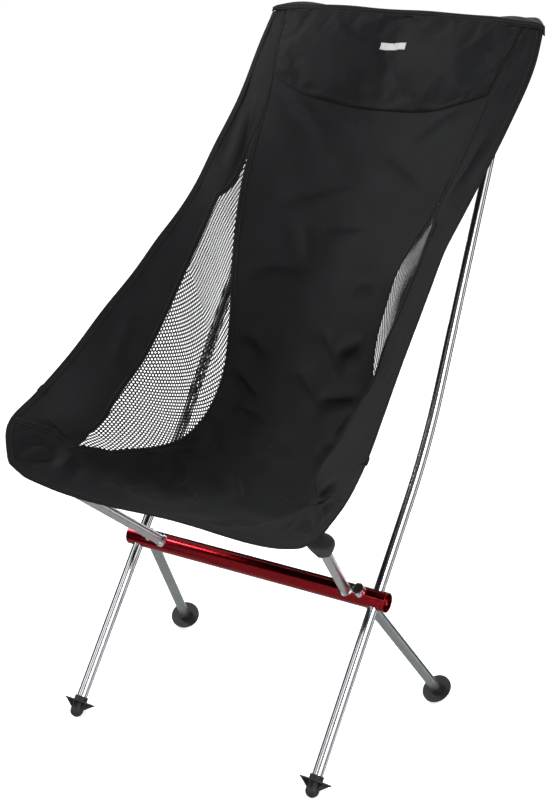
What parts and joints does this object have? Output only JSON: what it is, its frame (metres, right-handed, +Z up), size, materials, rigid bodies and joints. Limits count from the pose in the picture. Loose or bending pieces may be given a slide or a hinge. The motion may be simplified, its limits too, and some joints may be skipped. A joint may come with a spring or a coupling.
{
  "type": "ultralight backpacking chair",
  "caption": "High-back sling camping chair on a plug-together aluminium tube frame with rubber feet and mesh side windows.",
  "frame": {"origin": "on the floor under the centre of the chair's box", "axes": "+Z up, the sitter faces -Y, +X is the sitter's left"},
  "size_m": [0.45, 0.6082, 0.82],
  "materials": {
    "red_anodised": "anodised gloss",
    "polished_tube": "polished",
    "satin_tube": "satin anodised",
    "ferrule": "mill",
    "bright_socket": "bright",
    "black_plastic": "moulded",
    "black_rubber": "matt",
    "elastic_cord": "braided",
    "black_fabric": "woven, matt",
    "black_mesh": "knitted mesh with round holes",
    "black_binding": "ribbed tape",
    "pocket_fabric": "coated woven"
  },
  "bodies": {
    "frame": {"hub_tube": "red_anodised", "back_pole_lower_left": "polished_tube", "back_pole_lower_right": "polished_tube", "back_pole_upper_left": "polished_tube", "back_pole_upper_right": "polished_tube", "seat_pole_left": "satin_tube", "seat_pole_right": "satin_tube", "back_pole_ferrule_left": "ferrule", "back_pole_ferrule_right": "ferrule", "leg_ferrule_left": "ferrule", "leg_ferrule_right": "ferrule", "seat_pole_socket_left": "bright_socket", "seat_pole_socket_right": "bright_socket", "rear_leg_socket_left": "bright_socket", "rear_leg_socket_right": "bright_socket", "back_pole_tip_left": "black_plastic", "back_pole_tip_right": "black_plastic", "seat_pole_tip_left": "black_plastic", "seat_pole_tip_right": "black_plastic", "socket_plug_left": "black_plastic", "socket_plug_right": "black_plastic", "shock_cord_front_left": "elastic_cord", "shock_cord_front_right": "elastic_cord", "shock_cord_rear_left": "elastic_cord", "shock_cord_rear_right": "elastic_cord", "sling_seat_panel": "black_fabric", "sling_back_panel": "black_fabric", "sling_side_panel_left": "black_fabric", "sling_side_panel_right": "black_fabric", "headrest": "black_fabric", "top_yoke": "black_fabric", "sling_mesh_window_left": "black_mesh", "sling_mesh_window_right": "black_mesh", "sling_edge_binding_left": "black_binding", "sling_edge_binding_right": "black_binding", "sling_front_hem": "black_binding", "top_pocket_left": "pocket_fabric", "top_pocket_right": "pocket_fabric", "front_pocket_left": "pocket_fabric", "front_pocket_right": "pocket_fabric"},
    "front_leg_left_body": {"front_leg_left": "polished_tube", "front_foot_left": "black_rubber"},
    "rear_leg_left_body": {"rear_leg_left": "satin_tube", "rear_foot_left": "black_rubber"},
    "front_leg_right_body": {"front_leg_right": "polished_tube", "front_foot_right": "black_rubber"},
    "rear_leg_right_body": {"rear_leg_right": "satin_tube", "rear_foot_right": "black_rubber"}
  },
  "joints": [
    {"name": "front_leg_left_pull", "type": "slide", "parent": "frame", "child": "front_leg_left_body", "axis": [0, -0.6209, -0.7839], "range_m": [0, 0.035], "stiffness_N_per_m": 150, "springref_m": -0.05},
    {"name": "front_leg_right_pull", "type": "slide", "parent": "frame", "child": "front_leg_right_body", "axis": [0, -0.6209, -0.7839], "range_m": [0, 0.035], "stiffness_N_per_m": 150, "springref_m": -0.05},
    {"name": "rear_leg_left_pull", "type": "slide", "parent": "frame", "child": "rear_leg_left_body", "axis": [0.1772, 0.5894, -0.7882], "range_m": [0, 0.02], "stiffness_N_per_m": 150, "springref_m": -0.05},
    {"name": "rear_leg_right_pull", "type": "slide", "parent": "frame", "child": "rear_leg_right_body", "axis": [-0.1772, 0.5894, -0.7882], "range_m": [0, 0.02], "stiffness_N_per_m": 150, "springref_m": -0.05}
  ]
}
